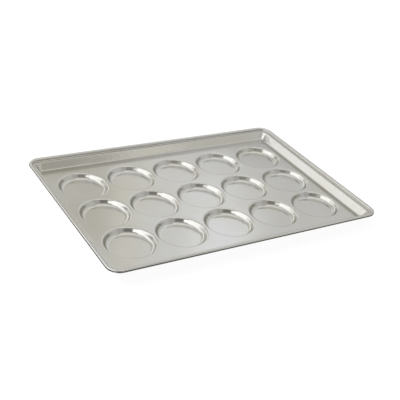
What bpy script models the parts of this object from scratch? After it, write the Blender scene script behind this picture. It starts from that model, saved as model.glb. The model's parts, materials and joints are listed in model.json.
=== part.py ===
"""Full-size hamburger bun pan: one pressed sheet with fifteen round cups, and the wire in its rim.

The pan lies level with +Z up. Its origin is the centre of its footprint, on the plane that the
undersides of the cups stand on. X runs along the long side. All sizes are in metres.

A pan like this starts as one flat blank of aluminised steel. The cups and the tray are pressed,
the edge is trimmed, and the edge is then curled outwards and down round a stiffening wire.
"""

import math

import bmesh
import bpy
from mathutils import Vector

# Sheet and wire
SHEET = 0.00065
WIRE_DIAMETER = 0.0060
WIRE_CLEARANCE = 0.00035
WIRE_BUTT_GAP = 0.0005

# Cups
CUPS_ALONG = 5
CUPS_ACROSS = 3
CUP_TOP_DIAMETER = 0.10795
CUP_DEPTH = 0.0127
CUP_WALL_ANGLE = math.radians(65.0)
CUP_SHOULDER = 0.0048
CUP_FILLET = 0.0090

# Flat strips of deck: between two cups, beyond the end cups, and beyond the outer rows
CUP_LAND = 0.0034
END_LAND = 0.01085
SIDE_LAND = 0.02665

# Flared side of the tray, and the flange round its top
WALL_HEIGHT = 0.01625
WALL_ANGLE = math.radians(58.0)
WALL_FILLET = 0.0030
WALL_SHOULDER = 0.0015
FLANGE_WIDTH = 0.0060

# Curled rim
CURL_BEND = 0.0016
CURL_STAND = 0.0012
CURL_TUCK_GAP = 0.0006

# Corners in plan: at the outside of the rim, at the top of the wall, and at its foot
RIM_CORNER = 0.0280
FLANGE_CORNER = 0.0140
FOOT_CORNER = 0.0080

# Facets
CUP_SEGMENTS = 24
CORNER_SEGMENTS = 8
CURL_SEGMENTS = 13
BEND_SEGMENTS = 2
WIRE_BEVEL_RESOLUTION = 4

# Heights of the upper faces, from the plane that the pan stands on
CUP_FLOOR_Z = SHEET
DECK_Z = CUP_FLOOR_Z + CUP_DEPTH
FLANGE_Z = DECK_Z + WALL_HEIGHT
WIRE_Z = FLANGE_Z + CURL_BEND + CURL_STAND

# Sizes that follow from the ones above
CURL_RADIUS = WIRE_DIAMETER / 2 + WIRE_CLEARANCE + SHEET
BRIM_RADIUS = CUP_TOP_DIAMETER / 2 + CUP_SHOULDER * math.tan(CUP_WALL_ANGLE / 2)
CUP_BOTTOM_RADIUS = CUP_TOP_DIAMETER / 2 - CUP_DEPTH / math.tan(CUP_WALL_ANGLE)
CUP_FLOOR_RADIUS = CUP_BOTTOM_RADIUS - CUP_FILLET * math.tan(CUP_WALL_ANGLE / 2)
CUP_PITCH = 2 * BRIM_RADIUS + CUP_LAND

# Insets from the outside of the rim
FLANGE_INSET = 2 * CURL_RADIUS + FLANGE_WIDTH
FOOT_INSET = FLANGE_INSET + WALL_HEIGHT / math.tan(WALL_ANGLE)
DECK_INSET = FOOT_INSET + WALL_FILLET * math.tan(WALL_ANGLE / 2)

# Outside of the rim
HALF_LENGTH = DECK_INSET + END_LAND + BRIM_RADIUS + (CUPS_ALONG - 1) / 2 * CUP_PITCH
HALF_WIDTH = DECK_INSET + SIDE_LAND + BRIM_RADIUS + (CUPS_ACROSS - 1) / 2 * CUP_PITCH


def clear_scene():
    """Remove every object that the file starts with."""
    for item in list(bpy.data.objects):
        bpy.data.objects.remove(item, do_unlink=True)


def metal(name, colour, roughness):
    """A bare metal finish."""
    finish = bpy.data.materials.new(name)
    finish.use_nodes = True
    shader = finish.node_tree.nodes["Principled BSDF"]
    shader.inputs["Base Color"].default_value = (*colour, 1.0)
    shader.inputs["Metallic"].default_value = 1.0
    shader.inputs["Roughness"].default_value = roughness
    return finish


def arc(centre, radius, start, end, segments):
    """Points along an arc in a section plane; angles in degrees from its first axis."""
    points = []
    for step in range(segments + 1):
        angle = math.radians(start + (end - start) * step / segments)
        across = centre[0] + radius * math.cos(angle)
        height = centre[1] + radius * math.sin(angle)
        points.append((across, height))
    return points


def corner_radius(inset):
    """Plan radius of the pan's corner at an inset from the outside of the rim.

    The curl keeps one centre. From there the corner tightens down the flange and the wall.
    """
    curl_inset = 2 * CURL_RADIUS
    if inset <= curl_inset:
        return RIM_CORNER - inset
    if inset <= FLANGE_INSET:
        share = (inset - curl_inset) / (FLANGE_INSET - curl_inset)
        return (RIM_CORNER - curl_inset) * (1 - share) + FLANGE_CORNER * share
    share = (inset - FLANGE_INSET) / (FOOT_INSET - FLANGE_INSET)
    return FLANGE_CORNER * (1 - share) + FOOT_CORNER * share


def rounded_rectangle(inset, height):
    """Points of the pan's outline in plan, moved in by an inset and set at a height."""
    radius = corner_radius(inset)
    reach_x = HALF_LENGTH - inset - radius
    reach_y = HALF_WIDTH - inset - radius
    points = []
    for corner, (side_x, side_y) in enumerate(((1, 1), (-1, 1), (-1, -1), (1, -1))):
        for step in range(CORNER_SEGMENTS + 1):
            angle = math.radians(90 * corner + 90 * step / CORNER_SEGMENTS)
            x = side_x * reach_x + radius * math.cos(angle)
            y = side_y * reach_y + radius * math.sin(angle)
            points.append(Vector((x, y, height)))
    return points


def curl_end_angle():
    """Angle at which the curl stops, so that its raw edge is tucked in under the flange.

    The edge stays CURL_TUCK_GAP off the underside of the bend between flange and curl.
    """
    to_bend = Vector((CURL_RADIUS + CURL_BEND, -CURL_STAND))
    reach = CURL_BEND + SHEET + CURL_TUCK_GAP
    span = to_bend.length
    cosine = (CURL_RADIUS**2 + span**2 - reach**2) / (2 * CURL_RADIUS * span)
    return 360 + math.degrees(math.atan2(to_bend.y, to_bend.x) - math.acos(cosine))


def rim_section():
    """Upper face of the tray's side, as insets and heights, from the deck out to the curl's edge."""
    tilt = math.degrees(WALL_ANGLE)
    shoulder_inset = FLANGE_INSET - WALL_SHOULDER * math.tan(WALL_ANGLE / 2)
    foot = arc((DECK_INSET, DECK_Z + WALL_FILLET), WALL_FILLET, 270, 270 - tilt, 2 * BEND_SEGMENTS)
    shoulder = arc((shoulder_inset, FLANGE_Z - WALL_SHOULDER), WALL_SHOULDER, 90 - tilt, 90, BEND_SEGMENTS)
    bend_inset = 2 * CURL_RADIUS + CURL_BEND
    bend = arc((bend_inset, FLANGE_Z + CURL_BEND), CURL_BEND, 270, 180, BEND_SEGMENTS)
    curl = arc((CURL_RADIUS, WIRE_Z), CURL_RADIUS, 0, curl_end_angle(), CURL_SEGMENTS)
    return foot + shoulder + bend + curl


def cup_section():
    """Upper face of a cup, as radii and heights, from its brim down to its floor."""
    tilt = math.degrees(CUP_WALL_ANGLE)
    shoulder = arc((BRIM_RADIUS, DECK_Z - CUP_SHOULDER), CUP_SHOULDER, 90, 90 + tilt, BEND_SEGMENTS)
    fillet = arc((CUP_FLOOR_RADIUS, CUP_FLOOR_Z + CUP_FILLET), CUP_FILLET, 270 + tilt, 270, BEND_SEGMENTS)
    return shoulder + fillet


def loft_rim(shape):
    """Skin the tray's side from outline to outline."""
    rings = []
    for inset, height in rim_section():
        rings.append([shape.verts.new(point) for point in rounded_rectangle(inset, height)])
    for inner, outer in zip(rings, rings[1:]):
        for index in range(len(inner)):
            after = (index + 1) % len(inner)
            shape.faces.new((inner[index], outer[index], outer[after], inner[after]))


def spin_cup(shape, centre):
    """Turn a cup's section about the cup's own upright axis."""
    verts = []
    for radius, height in cup_section():
        verts.append(shape.verts.new(centre + Vector((radius, 0, height))))
    edges = [shape.edges.new(pair) for pair in zip(verts, verts[1:])]
    bmesh.ops.spin(
        shape,
        geom=verts + edges,
        cent=centre,
        axis=(0, 0, 1),
        angle=2 * math.pi,
        steps=CUP_SEGMENTS,
        use_merge=True,
    )


def cup_centres():
    """Centres of the cups in plan, in a centred grid."""
    centres = []
    for row in range(CUPS_ACROSS):
        for column in range(CUPS_ALONG):
            x = (column - (CUPS_ALONG - 1) / 2) * CUP_PITCH
            y = (row - (CUPS_ACROSS - 1) / 2) * CUP_PITCH
            centres.append(Vector((x, y, 0)))
    return centres


def open_edges(shape, height):
    """Edges with one face only that lie at a height."""
    found = []
    for edge in shape.edges:
        level = all(abs(vert.co.z - height) < SHEET / 10 for vert in edge.verts)
        if edge.is_boundary and level:
            found.append(edge)
    return found


def pan_sheet():
    """The pressed sheet: tray, deck, cups and curl, modelled as its upper face and given thickness."""
    shape = bmesh.new()
    loft_rim(shape)
    for centre in cup_centres():
        spin_cup(shape, centre)
    bmesh.ops.remove_doubles(shape, verts=shape.verts, dist=SHEET / 100)
    bmesh.ops.edgeloop_fill(shape, edges=open_edges(shape, CUP_FLOOR_Z))
    bmesh.ops.triangle_fill(shape, edges=open_edges(shape, DECK_Z), use_beauty=True, normal=(0, 0, 1))
    bmesh.ops.recalc_face_normals(shape, faces=shape.faces)
    floor = min(shape.faces, key=lambda face: face.calc_center_median().z)
    if floor.normal.z < 0:
        bmesh.ops.reverse_faces(shape, faces=shape.faces)
    mesh = bpy.data.meshes.new("pan_sheet")
    shape.to_mesh(mesh)
    shape.free()
    mesh.shade_smooth()
    mesh.materials.append(metal("aluminised_steel", (0.60, 0.59, 0.55), 0.32))
    body = bpy.data.objects.new("pan_sheet", mesh)
    bpy.context.collection.objects.link(body)
    gauge = body.modifiers.new("gauge", "SOLIDIFY")
    gauge.thickness = SHEET
    gauge.offset = -1.0
    gauge.use_even_offset = True
    return body


def rim_wire():
    """The stiffening wire inside the curl: one bent rod, its ends butted behind the middle cup."""
    outline = rounded_rectangle(CURL_RADIUS, WIRE_Z)
    first_corner = CORNER_SEGMENTS + 1
    back = HALF_WIDTH - CURL_RADIUS
    start = Vector((-WIRE_BUTT_GAP / 2, back, WIRE_Z))
    end = Vector((WIRE_BUTT_GAP / 2, back, WIRE_Z))
    route = [start] + outline[first_corner:] + outline[:first_corner] + [end]
    curve = bpy.data.curves.new("rim_wire", "CURVE")
    curve.dimensions = "3D"
    curve.twist_mode = "Z_UP"
    curve.bevel_depth = WIRE_DIAMETER / 2
    curve.bevel_resolution = WIRE_BEVEL_RESOLUTION
    curve.use_fill_caps = True
    spline = curve.splines.new("POLY")
    spline.points.add(len(route) - 1)
    for point, place in zip(spline.points, route):
        point.co = (*place, 1.0)
    curve.materials.append(metal("galvanised_wire", (0.42, 0.42, 0.41), 0.45))
    wire = bpy.data.objects.new("rim_wire", curve)
    bpy.context.collection.objects.link(wire)
    return wire


def build_pan():
    """Build both pieces under one empty, and print the pan's overall size."""
    clear_scene()
    pan = bpy.data.objects.new("bun_pan", None)
    bpy.context.collection.objects.link(pan)
    for piece in (pan_sheet(), rim_wire()):
        piece.parent = pan
    height = WIRE_Z + CURL_RADIUS
    print(f"Pan: {2 * HALF_LENGTH:.4f} x {2 * HALF_WIDTH:.4f} x {height:.4f} m, cup pitch {CUP_PITCH:.4f} m")


build_pan()
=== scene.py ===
# %% [markdown]
# # A pressed hamburger bun pan
# The pan is one sheet of aluminised steel with fifteen round cups, flared sides, a flat flange
# and a rim that is curled round a wire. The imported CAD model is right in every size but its
# curves are coarse. Here the sheet is modelled again with fine curves, gets a real steel finish,
# and is set in a small studio. Each step says what the real thing is and why it is made this way.

import json
import math

import bmesh
import bpy
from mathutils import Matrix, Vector

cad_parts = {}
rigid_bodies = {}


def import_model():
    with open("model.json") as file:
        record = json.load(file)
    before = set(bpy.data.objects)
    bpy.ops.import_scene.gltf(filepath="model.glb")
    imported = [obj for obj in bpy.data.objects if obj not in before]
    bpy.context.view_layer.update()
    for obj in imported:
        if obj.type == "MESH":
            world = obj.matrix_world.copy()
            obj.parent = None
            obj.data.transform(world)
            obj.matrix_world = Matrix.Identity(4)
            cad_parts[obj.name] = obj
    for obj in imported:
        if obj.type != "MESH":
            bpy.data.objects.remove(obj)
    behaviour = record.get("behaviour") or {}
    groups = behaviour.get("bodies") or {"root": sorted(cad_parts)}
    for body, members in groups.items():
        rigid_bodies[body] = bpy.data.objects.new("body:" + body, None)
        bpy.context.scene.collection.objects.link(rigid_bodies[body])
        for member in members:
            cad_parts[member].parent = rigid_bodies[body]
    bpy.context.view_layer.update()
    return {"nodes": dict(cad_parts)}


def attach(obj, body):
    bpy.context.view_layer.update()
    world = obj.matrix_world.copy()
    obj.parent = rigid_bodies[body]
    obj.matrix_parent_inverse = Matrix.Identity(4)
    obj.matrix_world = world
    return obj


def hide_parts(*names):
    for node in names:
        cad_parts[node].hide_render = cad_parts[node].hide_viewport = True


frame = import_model()
bpy.ops.object.select_all(action="DESELECT")

# %% [markdown]
# ## Sizes
# A press tool is drawn as a section: how far each point of the sheet lies in from the rim, and
# how high. The same few lengths that set the CAD model set this one, so both lie in one place.
# Lengths are in metres and angles in degrees.

# %% Sizes of the sheet and the tray
SHEET = 0.00065
DECK_Z = 0.01335
FLANGE_Z = 0.02960
WIRE_Z = 0.03240
CURL_RADIUS = 0.0040
CURL_BEND = 0.0016
CURL_END = 320.5
FLANGE_INSET = 0.0140
WALL_ANGLE = 58.0
WALL_SHOULDER = 0.0015
WALL_FILLET = 0.0030
RIM_CORNER = 0.0280
FOOT_CORNER = 0.0080
FLAT_EDGE = 0.0010
print(f"Deck {(WIRE_Z + CURL_RADIUS - DECK_Z) * 1000:.1f} mm below the top of the rim")

# %% Sizes of the cups
CUPS_ALONG = 5
CUPS_ACROSS = 3
CUP_DEPTH = 0.0127
CUP_TOP_RADIUS = 0.053975
CUP_WALL_ANGLE = 65.0
CUP_SHOULDER = 0.0048
CUP_FILLET = 0.0090
CUP_LAND = 0.0034
END_LAND = 0.01085
SIDE_LAND = 0.02665
print(f"{CUPS_ALONG} x {CUPS_ACROSS} cups, {CUP_DEPTH * 1000:.1f} mm deep")

# %% [markdown]
# ## The section as a list of points
# Bends in sheet metal are arcs, so the whole section is straight runs joined by arcs. A small
# function lists the points of an arc, and the corner between two runs tells where it starts.


# %% Helpers for a section
def arc(centre, radius, start, end, steps):
    """Points along an arc in a section plane, from one angle to another."""
    points = []
    for step in range(steps + 1):
        angle = math.radians(start + (end - start) * step / steps)
        points.append((centre[0] + radius * math.cos(angle), centre[1] + radius * math.sin(angle)))
    return points


def half_tangent(angle):
    """Length of an arc's tangents, for a radius of one, where two runs meet at an angle."""
    return math.tan(math.radians(angle) / 2)


def between(start, end, steps):
    """Points between two points of a section, without the two."""
    shares = [step / steps for step in range(1, steps)]
    return [tuple(a + (b - a) * share for a, b in zip(start, end)) for share in shares]


print(f"The walls' bends start {half_tangent(WALL_ANGLE):.3f} radii before their corner")

# %% Section of the tray
OVER_WIRE_STEPS = 16
UNDER_WIRE_STEPS = 12
BEND_STEPS = 5
SHOULDER_STEPS = 4
WALL_STEPS = 6

foot_inset = FLANGE_INSET + (FLANGE_Z - DECK_Z) / math.tan(math.radians(WALL_ANGLE))
deck_inset = foot_inset + WALL_FILLET * half_tangent(WALL_ANGLE)
shoulder_inset = FLANGE_INSET - WALL_SHOULDER * half_tangent(WALL_ANGLE)
wire_centre = (CURL_RADIUS, WIRE_Z)
bend_centre = (2 * CURL_RADIUS + CURL_BEND, FLANGE_Z + CURL_BEND)
shoulder_centre = (shoulder_inset, FLANGE_Z - WALL_SHOULDER)
fillet_centre = (deck_inset, DECK_Z + WALL_FILLET)

over_the_wire = arc(wire_centre, CURL_RADIUS, 180, 0, OVER_WIRE_STEPS)
under_the_wire = arc(wire_centre, CURL_RADIUS, 180, CURL_END, UNDER_WIRE_STEPS)
into_flange = arc(bend_centre, CURL_BEND, 180, 270, BEND_STEPS)
over_shoulder = arc(shoulder_centre, WALL_SHOULDER, 90, 90 - WALL_ANGLE, SHOULDER_STEPS)
into_deck = arc(fillet_centre, WALL_FILLET, 270 - WALL_ANGLE, 270, BEND_STEPS)
down_the_wall = between(over_shoulder[-1], into_deck[0], WALL_STEPS)
tray_section = over_the_wire + into_flange + over_shoulder + down_the_wall + into_deck
tray_section.append((deck_inset + FLAT_EDGE, DECK_Z))
print(f"Tray section: {len(tray_section)} points; the deck starts {deck_inset * 1000:.1f} mm in")

# %% Section of a cup
BRIM_STEPS = 8
FLOOR_STEPS = 10

brim_radius = CUP_TOP_RADIUS + CUP_SHOULDER * half_tangent(CUP_WALL_ANGLE)
floor_edge = CUP_TOP_RADIUS - CUP_DEPTH / math.tan(math.radians(CUP_WALL_ANGLE))
floor_radius = floor_edge - CUP_FILLET * half_tangent(CUP_WALL_ANGLE)
start_radius = brim_radius + FLAT_EDGE
brim_centre = (brim_radius, DECK_Z - CUP_SHOULDER)
floor_centre = (floor_radius, SHEET + CUP_FILLET)

brim_bend = arc(brim_centre, CUP_SHOULDER, 90, 90 + CUP_WALL_ANGLE, BRIM_STEPS)
floor_bend = arc(floor_centre, CUP_FILLET, 270 + CUP_WALL_ANGLE, 270, FLOOR_STEPS)
cup_outline = [(start_radius, DECK_Z), *brim_bend, *floor_bend, (floor_radius - FLAT_EDGE, SHEET)]
cup_section = [(start_radius - radius, height) for radius, height in cup_outline]
print(f"Cup section: {len(cup_section)} points; the floor is {2000 * floor_radius:.1f} mm across")

# %% Size of the whole pan
cup_pitch = 2 * brim_radius + CUP_LAND
LENGTH = 2 * (deck_inset + END_LAND + brim_radius) + (CUPS_ALONG - 1) * cup_pitch
WIDTH = 2 * (deck_inset + SIDE_LAND + brim_radius) + (CUPS_ACROSS - 1) * cup_pitch
print(f"Pan {LENGTH * 1000:.1f} x {WIDTH * 1000:.1f} mm, cups {cup_pitch * 1000:.2f} mm apart")

# %% [markdown]
# ## The tray, from the rim in to the deck
# On the real pan the sides are drawn and the edge is curled afterwards. In Blender both are one
# walk along the section: the pan's outline is a single face, and each Inset makes the next ring
# inside it, a little higher or lower. Inset keeps an even distance, so the corners tighten
# inwards by themselves, as they do on the pan. Half of the curl runs over the wire, and half
# runs under it, so there are two such walks from the same outline.


# %% Walk along a section with Inset
def inset_along(section):
    """Inset the selected face from point to point of a section of insets and heights."""
    for here, there in zip(section, section[1:]):
        bpy.ops.mesh.inset(thickness=there[0] - here[0], depth=there[1] - here[1])


def cut_long_edges(least, cuts):
    """Cut every edge of the open mesh that is longer than a length."""
    shape = bmesh.from_edit_mesh(bpy.context.object.data)
    bpy.ops.mesh.select_all(action="DESELECT")
    for edge in shape.edges:
        edge.select_set(edge.calc_length() > least)
    bmesh.update_edit_mesh(bpy.context.object.data)
    bpy.ops.mesh.subdivide(number_cuts=cuts)


# %% The tray and the underside of its curl
CORNER_STEPS = 24
LONG_SIDE = 0.5
LONG_CUTS = 48
SHORT_SIDE = 0.3
SHORT_CUTS = 34


def rim_strip(name, section):
    """A plane cut to the pan's outline and inset along a section, without its last face."""
    bpy.ops.mesh.primitive_plane_add(size=1, location=(0, 0, WIRE_Z))
    strip = bpy.context.object
    strip.name = name
    bpy.ops.object.mode_set(mode="EDIT")
    bpy.ops.mesh.select_mode(type="EDGE")
    bpy.ops.transform.resize(value=(LENGTH, WIDTH, 1))
    bpy.ops.mesh.bevel(offset=RIM_CORNER, segments=CORNER_STEPS, affect="VERTICES")
    bpy.ops.mesh.select_all(action="SELECT")
    bpy.ops.mesh.delete(type="ONLY_FACE")
    cut_long_edges(LONG_SIDE, LONG_CUTS)
    cut_long_edges(SHORT_SIDE, SHORT_CUTS)
    bpy.ops.mesh.select_all(action="SELECT")
    bpy.ops.mesh.edge_face_add()
    bpy.ops.mesh.select_mode(type="FACE")
    outline = next(iter(bmesh.from_edit_mesh(strip.data).faces))
    if outline.normal.z < 0:
        bpy.ops.mesh.flip_normals()
    inset_along(section)
    bpy.ops.mesh.delete(type="ONLY_FACE")
    bpy.ops.object.mode_set(mode="OBJECT")
    print(f"{name}: {len(strip.data.polygons)} faces")
    return strip


tray = rim_strip("tray", tray_section)
curl_underside = rim_strip("curl_underside", under_the_wire)

# %% [markdown]
# ## Corners of the pan
# With even insets the corner would end almost sharp at the deck, which would split the sheet in
# the press. A real tool keeps a fair radius there, so the rings below the flange are eased: each
# corner point keeps its direction and goes out to a larger circle. The metal that is too much in
# a drawn corner gathers in faint upright puckers on the wall and in small dents along the curl.
# They are only one or two tenths of a millimetre deep, but bare metal shows them as sparkles.

# %% Ease the corners below the flange and pucker them
CORNER_MARGIN = 0.002
PUCKERS = 4
WALL_PUCKER = 0.00007
CURL_DENT = 0.00018


def ease_corners(piece, section):
    """Set every ring's corners on true arcs, wider below the flange, with puckers and dents."""
    centre_x = LENGTH / 2 - RIM_CORNER
    centre_y = WIDTH / 2 - RIM_CORNER
    insets = [point[0] for point in section]
    moved = 0
    for vertex in piece.data.vertices:
        side_x = math.copysign(1, vertex.co.x)
        side_y = math.copysign(1, vertex.co.y)
        away = Vector((abs(vertex.co.x) - centre_x, abs(vertex.co.y) - centre_y))
        if min(away) < -CORNER_MARGIN:
            continue
        away = Vector((max(away.x, 0), max(away.y, 0)))
        inset = min(insets, key=lambda depth: abs(depth - RIM_CORNER + away.length))
        share = min((inset - FLANGE_INSET) / (foot_inset - FLANGE_INSET), 1)
        radius = RIM_CORNER - inset
        if share > 0:
            radius = (RIM_CORNER - FLANGE_INSET) * (1 - share) + FOOT_CORNER * share
        centre = Vector((LENGTH / 2 - inset - radius, WIDTH / 2 - inset - radius))
        wave = math.sin(2 * PUCKERS * math.atan2(away.y, away.x))
        if share > 0:
            radius += WALL_PUCKER * wave * 4 * share * (1 - share)
        elif inset <= 2 * CURL_RADIUS:
            dent = wave * wave * CURL_DENT / CURL_RADIUS
            radius += (inset - CURL_RADIUS) * dent
            vertex.co.z *= 1 - dent
        place = centre + away.normalized() * radius
        vertex.co.x = side_x * place.x
        vertex.co.y = side_y * place.y
        moved += 1
    print(f"{piece.name}: {moved} corner points set")


ease_corners(tray, tray_section)
ease_corners(curl_underside, under_the_wire)

# %% [markdown]
# ## One cup, copied to fifteen places
# Every cup is pressed by the same punch. So one cup is modelled, with the same walk of insets
# from its brim to its floor, and then copied. Each copy has a mesh of its own, because all of
# them are joined with the tray in the next step.

# %% Model a cup and copy it
CUP_STEPS = 72

first_x = -(CUPS_ALONG - 1) / 2 * cup_pitch
first_y = -(CUPS_ACROSS - 1) / 2 * cup_pitch
bpy.ops.mesh.primitive_circle_add(
    vertices=CUP_STEPS, radius=start_radius, fill_type="NGON", location=(first_x, first_y, DECK_Z)
)
first_cup = bpy.context.object
first_cup.name = "cup"
bpy.ops.object.mode_set(mode="EDIT")
bpy.ops.mesh.select_mode(type="FACE")
bpy.ops.mesh.select_all(action="SELECT")
inset_along(cup_section)
bpy.ops.object.mode_set(mode="OBJECT")
bpy.ops.object.transform_apply(location=True)

cups = [first_cup]
for row in range(CUPS_ACROSS):
    for column in range(CUPS_ALONG):
        if row == column == 0:
            continue
        bpy.ops.object.select_all(action="DESELECT")
        first_cup.select_set(True)
        bpy.context.view_layer.objects.active = first_cup
        bpy.ops.object.duplicate(linked=False)
        bpy.ops.transform.translate(value=(column * cup_pitch, row * cup_pitch, 0))
        cups.append(bpy.context.object)
print(f"{len(cups)} cups of {len(first_cup.data.polygons)} faces")

# %% [markdown]
# ## Deck and thickness
# The deck is what is left of the flat blank between the cups and the walls. Joining the pieces,
# merging the doubled outline and filling between the loops at deck height gives it. Only then
# does Solidify give the sheet its 0.65 mm, downwards, so that the upper face stays as drawn.

# %% Join the pieces and fill the deck
MERGE_WITHIN = 0.00001
LEVEL_WITHIN = 0.00002

bpy.ops.object.select_all(action="DESELECT")
for piece in (tray, curl_underside, *cups):
    piece.select_set(True)
bpy.context.view_layer.objects.active = tray
bpy.ops.object.transform_apply(location=True, rotation=True, scale=True)
bpy.ops.object.join()
sheet = bpy.context.object
sheet.name = "pressed_sheet"
sheet.data.name = "pressed_sheet"
bpy.ops.object.mode_set(mode="EDIT")
bpy.ops.mesh.select_all(action="SELECT")
bpy.ops.mesh.remove_doubles(threshold=MERGE_WITHIN)
bpy.ops.mesh.select_mode(type="EDGE")
bpy.ops.mesh.select_all(action="DESELECT")
shape = bmesh.from_edit_mesh(sheet.data)
for edge in shape.edges:
    level = all(abs(vertex.co.z - DECK_Z) < LEVEL_WITHIN for vertex in edge.verts)
    edge.select_set(edge.is_boundary and level)
bmesh.update_edit_mesh(sheet.data)
bpy.ops.mesh.fill(use_beauty=True)
bpy.ops.mesh.select_all(action="SELECT")
bpy.ops.mesh.normals_make_consistent(inside=False)
shape = bmesh.from_edit_mesh(sheet.data)
lowest = min(shape.faces, key=lambda face: face.calc_center_median().z)
if lowest.normal.z < 0:
    bpy.ops.mesh.flip_normals()
bpy.ops.object.mode_set(mode="OBJECT")
print(f"Upper face: {len(sheet.data.polygons)} faces")

# %% Give the sheet its gauge
SMOOTH_UP_TO = 50

gauge = sheet.modifiers.new("gauge", "SOLIDIFY")
gauge.thickness = SHEET
gauge.offset = -1.0
gauge.use_even_offset = True
bpy.ops.object.modifier_apply(modifier=gauge.name)
bpy.ops.object.shade_smooth_by_angle(angle=math.radians(SMOOTH_UP_TO))
triangles = sum(len(face.vertices) - 2 for face in sheet.data.polygons)
print(f"Sheet: {len(sheet.data.vertices)} vertices, {triangles} triangles")

# %% [markdown]
# ## Aluminised steel
# The blank is steel with a thin aluminium and silicon coat, put on hot and rolled. It looks
# light grey and satin. The rolls leave a fine grain along the pan, the baked glaze gives a faint
# warm tone in clouds, and handling leaves thin scratches. All of it is noise on Object
# coordinates, so the grain stays on the pan and one finish fits every face.


# %% Helpers for node materials
def new_finish(name):
    """A material with its node tree and its shader."""
    finish = bpy.data.materials.new(name)
    finish.use_nodes = True
    return finish, finish.node_tree, finish.node_tree.nodes["Principled BSDF"]


def spread(tree, value, span, result):
    """Map a range of a pattern to a range of values."""
    node = tree.nodes.new("ShaderNodeMapRange")
    node.inputs["From Min"].default_value, node.inputs["From Max"].default_value = span
    node.inputs["To Min"].default_value, node.inputs["To Max"].default_value = result
    tree.links.new(value, node.inputs["Value"])
    return node.outputs["Result"]


def combine(tree, operation, one, other):
    """Add or multiply two values, or take the larger one."""
    node = tree.nodes.new("ShaderNodeMath")
    node.operation = operation
    tree.links.new(one, node.inputs[0])
    tree.links.new(other, node.inputs[1])
    return node.outputs["Value"]


# %% Helpers for noise and for two tones
def noise(tree, scale, detail, stretch=(1, 1, 1)):
    """Noise on Object coordinates, drawn out by a stretch."""
    where = tree.nodes.new("ShaderNodeTexCoord")
    mapping = tree.nodes.new("ShaderNodeMapping")
    mapping.inputs["Scale"].default_value = stretch
    pattern = tree.nodes.new("ShaderNodeTexNoise")
    pattern.inputs["Scale"].default_value = scale
    pattern.inputs["Detail"].default_value = detail
    tree.links.new(where.outputs["Object"], mapping.inputs["Vector"])
    tree.links.new(mapping.outputs["Vector"], pattern.inputs["Vector"])
    return pattern.outputs["Fac"]


def two_tones(tree, pattern, first, second):
    """A colour between two tones, where a pattern says."""
    mix = tree.nodes.new("ShaderNodeMix")
    mix.data_type = "RGBA"
    mix.inputs["A"].default_value = (*first, 1)
    mix.inputs["B"].default_value = (*second, 1)
    tree.links.new(pattern, mix.inputs["Factor"])
    return mix.outputs["Result"]


# %% Tone and shine of the sheet
GRAIN_STRETCH = (40, 1400, 1400)
SCRATCH_STRETCH = (14, 520, 260)
CROSS_SCRATCH_STRETCH = (430, 11, 240)
BARE_TONE = (0.590, 0.587, 0.565)
GLAZED_TONE = (0.565, 0.555, 0.515)
POLISH_STARTS = 0.0025

steel, steel_tree, steel_shader = new_finish("aluminised_steel")
steel_shader.inputs["Metallic"].default_value = 1.0
clouds = spread(steel_tree, noise(steel_tree, 9.0, 4.0), (0.35, 0.65), (0.0, 1.0))
tone = two_tones(steel_tree, clouds, BARE_TONE, GLAZED_TONE)
steel_tree.links.new(tone, steel_shader.inputs["Base Color"])

where = steel_tree.nodes.new("ShaderNodeTexCoord")
place = steel_tree.nodes.new("ShaderNodeSeparateXYZ")
steel_tree.links.new(where.outputs["Object"], place.inputs["Vector"])
height = place.outputs["Z"]
grain = noise(steel_tree, 1.0, 3.0, GRAIN_STRETCH)
scratches = noise(steel_tree, 1.0, 0.0, SCRATCH_STRETCH)
cross_scratches = noise(steel_tree, 1.0, 0.0, CROSS_SCRATCH_STRETCH)
top_of_curl = (WIRE_Z + POLISH_STARTS, WIRE_Z + CURL_RADIUS)
roughness = spread(steel_tree, grain, (0.3, 0.7), (0.12, 0.17))
dull_lines = spread(steel_tree, scratches, (0.74, 0.78), (0.0, 0.09))
dull_cross_lines = spread(steel_tree, cross_scratches, (0.76, 0.80), (0.0, 0.07))
scuffs_below = spread(steel_tree, height, (0.0001, 0.0004), (0.16, 0.0))
polish_on_top = spread(steel_tree, height, top_of_curl, (0.0, -0.05))
for added in (dull_lines, dull_cross_lines, scuffs_below, polish_on_top):
    roughness = combine(steel_tree, "ADD", roughness, added)
steel_tree.links.new(roughness, steel_shader.inputs["Roughness"])
print(len(steel_tree.nodes), "nodes for the tone and shine of the steel")

# %% [markdown]
# ## Grain and waves
# The grain is also a little relief. Where the sides were drawn, the sheet is no longer quite flat,
# so the walls have soft waves, stronger on the two short ones, and the deck has almost none. Two
# Bump nodes in a row add both to the light without any more faces.

# %% Relief of the sheet
END_WALL_DEPTH = 0.030
END_WALL_BLEND = 0.008
FLANGE_BLEND = 0.0006

relief = steel_tree.nodes.new("ShaderNodeBump")
relief.inputs["Strength"].default_value = 0.05
relief.inputs["Distance"].default_value = 0.0002
steel_tree.links.new(grain, relief.inputs["Height"])

from_middle = steel_tree.nodes.new("ShaderNodeMath")
from_middle.operation = "ABSOLUTE"
steel_tree.links.new(place.outputs["X"], from_middle.inputs[0])
end_wall_start = LENGTH / 2 - END_WALL_DEPTH
end_wall = (end_wall_start, end_wall_start + END_WALL_BLEND)
under_the_curl = (FLANGE_Z - FLANGE_BLEND, FLANGE_Z + FLANGE_BLEND)
on_the_wall = spread(steel_tree, height, (DECK_Z, FLANGE_Z), (0.08, 1.0))
on_the_end = spread(steel_tree, from_middle.outputs["Value"], end_wall, (0.35, 2.4))
below_the_curl = spread(steel_tree, height, under_the_curl, (1.0, 0.2))
swell = noise(steel_tree, 140.0, 3.0)
for share in (on_the_wall, on_the_end, below_the_curl):
    swell = combine(steel_tree, "MULTIPLY", swell, share)

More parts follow.
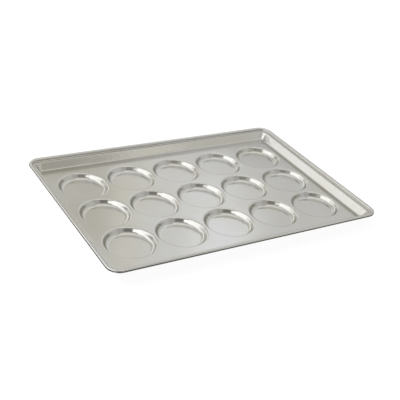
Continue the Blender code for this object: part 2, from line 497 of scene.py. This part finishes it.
waviness = steel_tree.nodes.new("ShaderNodeBump")
waviness.inputs["Strength"].default_value = 1.0
waviness.inputs["Distance"].default_value = 0.0007
steel_tree.links.new(swell, waviness.inputs["Height"])
steel_tree.links.new(relief.outputs["Normal"], waviness.inputs["Normal"])
steel_tree.links.new(waviness.outputs["Normal"], steel_shader.inputs["Normal"])
sheet.data.materials.clear()
sheet.data.materials.append(steel)
print(sheet.name, "is finished with", steel.name)

# %% [markdown]
# ## The wire in the rim
# The wire is zinc-coated rod. Only a slit under the curl shows it, so the CAD wire stays and
# gets a dull zinc finish with the cloudy crystals of a hot-dipped coat.

# %% The zinc of the wire
PALE_ZINC = (0.42, 0.42, 0.41)
DARK_ZINC = (0.34, 0.34, 0.34)

zinc, zinc_tree, zinc_shader = new_finish("galvanised_wire")
zinc_shader.inputs["Metallic"].default_value = 1.0
crystals = zinc_tree.nodes.new("ShaderNodeTexVoronoi")
crystals.inputs["Scale"].default_value = 400.0
where = zinc_tree.nodes.new("ShaderNodeTexCoord")
zinc_tree.links.new(where.outputs["Object"], crystals.inputs["Vector"])
coat = crystals.outputs["Distance"]
zinc_tone = two_tones(zinc_tree, coat, PALE_ZINC, DARK_ZINC)
zinc_tree.links.new(zinc_tone, zinc_shader.inputs["Base Color"])
dullness = spread(zinc_tree, coat, (0.0, 1.0), (0.38, 0.52))
zinc_tree.links.new(dullness, zinc_shader.inputs["Roughness"])
wire = frame["nodes"]["rim_wire"]
wire.data.materials.clear()
wire.data.materials.append(zinc)
print(wire.name, "is finished with", zinc.name)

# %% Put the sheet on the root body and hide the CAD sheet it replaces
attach(sheet, "root")
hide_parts("pan_sheet")
print(sheet.name, "rides on root and stands for pan_sheet")

# %% [markdown]
# ## Camera
# The pan was seen from its front left corner, about 1.7 m away and 30 degrees up. The place,
# the turn and the lens were solved from the pan's outline in the photograph. The outline lies
# level with the wire, so the camera's height is counted from there.

# %% Camera
SENSOR = 36.0
FOCAL_LENGTH = 69.118
CAMERA_PLACE = (-0.85861, -1.22717, 0.83706 + WIRE_Z)
CAMERA_TURN = (59.5494, -7.5859, -30.4996)

lens = bpy.data.cameras.new("camera")
lens.lens = FOCAL_LENGTH
lens.sensor_width = SENSOR
camera = bpy.data.objects.new("camera", lens)
bpy.context.collection.objects.link(camera)
camera.location = CAMERA_PLACE
camera.rotation_euler = [math.radians(angle) for angle in CAMERA_TURN]
bpy.context.scene.camera = camera
bpy.context.scene.view_settings.view_transform = "Standard"
print(f"Camera {camera.location.length:.2f} m from the middle of the pan's foot")

# %% [markdown]
# ## Floor and background
# The pan stands on a white sweep. The floor takes the pan's soft shadow, and glows enough by
# itself to reach white where nothing shades it. The world is white to the camera and in
# reflections, and a plain soft fill for the rest.

# %% Floor
PAPER_TONE = 0.17
PAPER_GLOW = 0.893

bpy.ops.mesh.primitive_plane_add(size=12, location=(0, 0, 0))
floor = bpy.context.object
floor.name = "floor"
paper, _, paper_shader = new_finish("white_paper")
paper_shader.inputs["Base Color"].default_value = (PAPER_TONE, PAPER_TONE, PAPER_TONE, 1)
paper_shader.inputs["Roughness"].default_value = 1.0
paper_shader.inputs["Specular IOR Level"].default_value = 0.0
paper_shader.inputs["Emission Color"].default_value = (1, 1, 1, 1)
paper_shader.inputs["Emission Strength"].default_value = PAPER_GLOW
floor.data.materials.append(paper)
print("Floor", [round(side, 1) for side in floor.dimensions[:2]], "m")

# %% World
WORLD_FILL = 0.7

world = bpy.data.worlds.new("studio")
bpy.context.scene.world = world
world.use_nodes = True
world_tree = world.node_tree
background = world_tree.nodes["Background"]
background.inputs["Color"].default_value = (1, 1, 1, 1)
ray = world_tree.nodes.new("ShaderNodeLightPath")
seen = combine(world_tree, "MAXIMUM", ray.outputs["Is Camera Ray"], ray.outputs["Is Glossy Ray"])
seen = combine(world_tree, "MAXIMUM", seen, ray.outputs["Is Transmission Ray"])
strength = spread(world_tree, seen, (0.0, 1.0), (WORLD_FILL, 1.0))
world_tree.links.new(strength, background.inputs["Strength"])
print("World: white where it is seen, and a fill of", WORLD_FILL)

# %% [markdown]
# ## A tent of cards
# Bare metal shows little of its own colour: it shows the room. A product photographer hangs a
# tent of white, grey and black panels round it, placed where the curves of the metal will mirror
# them. Here a panel is a grid bent round the pan between two compass directions and two heights.
# Only reflections see it, so the floor keeps its plain soft light.

# %% One panel of the tent
TENT_RADIUS = 3.0
CARD_TINTS = {"white": (1.0, 1.0, 1.0), "cream": (1.0, 0.98, 0.91), "blue": (0.99, 1.0, 1.04)}


def glow(piece, tint, level):
    """Give a card one brightness, and let nothing but reflections see it."""
    face = bpy.data.materials.new(piece.name)
    face.use_nodes = True
    tree = face.node_tree
    tree.nodes.clear()
    light = tree.nodes.new("ShaderNodeEmission")
    light.inputs["Color"].default_value = (*CARD_TINTS[tint], 1)
    light.inputs["Strength"].default_value = level
    out = tree.nodes.new("ShaderNodeOutputMaterial")
    tree.links.new(light.outputs["Emission"], out.inputs["Surface"])
    piece.data.materials.append(face)
    for kind in ("visible_camera", "visible_diffuse", "visible_transmission", "visible_shadow"):
        setattr(piece, kind, False)


def panel(azimuths, elevations, tint, level):
    """A card bent round the pan between two azimuths and two elevations."""
    bpy.ops.mesh.primitive_grid_add(x_subdivisions=12, y_subdivisions=4, size=1)
    piece = bpy.context.object
    piece.name = f"panel_{azimuths[0]}_{elevations[0]}"
    for vertex in piece.data.vertices:
        turn = math.radians(azimuths[0] + (azimuths[1] - azimuths[0]) * (vertex.co.x + 0.5))
        tilt = math.radians(elevations[0] + (elevations[1] - elevations[0]) * (vertex.co.y + 0.5))
        level_way = Vector((math.cos(turn), math.sin(turn), 0)) * math.cos(tilt)
        vertex.co = TENT_RADIUS * (level_way + Vector((0, 0, math.sin(tilt))))
    glow(piece, tint, level)


def count_panels():
    """How many panels hang so far."""
    return sum(piece.name.startswith("panel_") for piece in bpy.data.objects)


# %% [markdown]
# ## Low panels
# The end wall on the right, the sides of the cups and the rim mirror what stands low round the
# pan. The bright panels on the left, from 120 to 232 degrees, light the crescents on the
# right-hand curve of every cup, and the dark ones behind the camera draw the spot beside them.

# %% Panels from the floor up to 25 degrees
LOW = (0, 9)
panel((0, 52), LOW, "white", 0.28)
panel((52, 75), LOW, "white", 0.50)
panel((75, 120), LOW, "white", 0.95)
panel((120, 150), LOW, "white", 1.30)
panel((150, 180), LOW, "white", 0.40)
panel((180, 240), LOW, "white", 0.05)
panel((240, 360), LOW, "white", 0.65)

ABOVE_LOW = (9, 25)
panel((0, 40), ABOVE_LOW, "white", 0.74)
panel((40, 52), ABOVE_LOW, "white", 0.64)
panel((52, 75), ABOVE_LOW, "white", 0.80)
panel((75, 150), ABOVE_LOW, "white", 1.34)
panel((150, 195), ABOVE_LOW, "white", 1.70)
panel((195, 232), ABOVE_LOW, "white", 1.90)
panel((232, 270), ABOVE_LOW, "white", 0.25)
panel((270, 300), ABOVE_LOW, "white", 0.60)
panel((300, 360), ABOVE_LOW, "white", 0.74)
print(count_panels(), "low panels")

# %% [markdown]
# ## Panels for the deck and the back wall
# The deck is flat, so it mirrors only a small patch of the tent, opposite the camera. There the
# panels are cut small, and from one to the next they give the deck its slow change from a warm
# to a cool grey. The long wall at the back mirrors the panels round 303 degrees.

# %% Panels from 25 to 45 degrees
MIDDLE = (25, 45)
panel((0, 45), MIDDLE, "white", 0.84)
panel((45, 50), (25, 31), "white", 0.92)
panel((50, 58), (25, 28), "white", 0.92)
panel((50, 58), (28, 31), "blue", 1.10)
panel((58, 63), (25, 31), "white", 0.98)
panel((45, 47), (31, 45), "white", 0.95)
panel((47, 56), (31, 45), "blue", 1.15)
panel((56, 63), (31, 45), "white", 0.95)
panel((63, 67), (25, 28), "cream", 0.84)
panel((63, 67), (28, 45), "cream", 0.94)
panel((67, 86), MIDDLE, "cream", 0.75)
panel((86, 120), MIDDLE, "cream", 0.70)
panel((120, 150), MIDDLE, "white", 1.38)
panel((150, 210), MIDDLE, "white", 1.65)
panel((210, 270), MIDDLE, "cream", 0.44)
panel((270, 298), MIDDLE, "cream", 0.57)
panel((298, 307), MIDDLE, "cream", 0.94)
panel((307, 360), MIDDLE, "cream", 0.74)
print(count_panels(), "panels with those for the deck and the back wall")

# %% [markdown]
# ## High panels
# The round edges of the cup floors and the foot of every wall turn through all slopes, so they
# mirror what hangs over the pan, as thin bright lines.

# %% Panels from 45 degrees up to the top
HIGH = (45, 65)
panel((0, 60), HIGH, "white", 0.97)
panel((60, 74), HIGH, "cream", 0.82)
panel((74, 105), HIGH, "cream", 0.60)
panel((105, 135), HIGH, "blue", 1.00)
panel((135, 210), HIGH, "blue", 0.80)
panel((210, 300), HIGH, "cream", 0.92)
panel((300, 330), HIGH, "cream", 0.48)
panel((330, 360), HIGH, "blue", 0.95)

OVERHEAD = (65, 77)
panel((0, 105), OVERHEAD, "cream", 0.75)
panel((105, 165), OVERHEAD, "blue", 1.28)
panel((165, 285), OVERHEAD, "blue", 0.85)
panel((285, 360), OVERHEAD, "white", 1.28)
panel((0, 360), (77, 90), "white", 1.22)
print(count_panels(), "panels in the whole tent")

# %% [markdown]
# ## A black apron on the floor
# The outer half of the rim mirrors the floor. White paper there would melt the rim into the
# background, so a black card lies round the pan, with a window that is a little larger than it.

# %% Black card with a window
APRON_GAP = 0.015
APRON_REACH = 2.9
APRON_HEIGHT = 0.0005
APRON_LEVEL = 0.03

bpy.ops.mesh.primitive_plane_add(size=1, location=(0, 0, APRON_HEIGHT))
apron = bpy.context.object
apron.name = "black_apron"
bpy.ops.object.mode_set(mode="EDIT")
bpy.ops.transform.resize(value=(LENGTH + 2 * APRON_REACH, WIDTH + 2 * APRON_REACH, 1))
bpy.ops.mesh.inset(thickness=APRON_REACH - APRON_GAP)
bpy.ops.mesh.delete(type="FACE")
bpy.ops.object.mode_set(mode="OBJECT")
glow(apron, "white", APRON_LEVEL)
print(f"{apron.name}: its window is {APRON_GAP * 1000:.0f} mm wider than the pan all round")

# %% [markdown]
# ## Lamp
# One large lamp from the left gives the floor its soft shadow, as a window would. Reflections
# don't see it, because the panels already give the metal all that it mirrors.

# %% Soft lamp
LAMP_PLACE = (-1.8, 1.2, 2.2)
LAMP_SIDES = (2.4, 1.6)
LAMP_POWER = 45

lamp_data = bpy.data.lights.new("window", "AREA")
lamp_data.shape = "RECTANGLE"
lamp_data.size, lamp_data.size_y = LAMP_SIDES
lamp_data.energy = LAMP_POWER
lamp = bpy.data.objects.new("window", lamp_data)
bpy.context.collection.objects.link(lamp)
lamp.location = LAMP_PLACE
lamp.rotation_euler = (-lamp.location).to_track_quat("-Z", "Y").to_euler()
lamp.visible_glossy = False
print(f"{lamp.name}: {LAMP_SIDES[0]} x {LAMP_SIDES[1]} m, {LAMP_POWER} W")
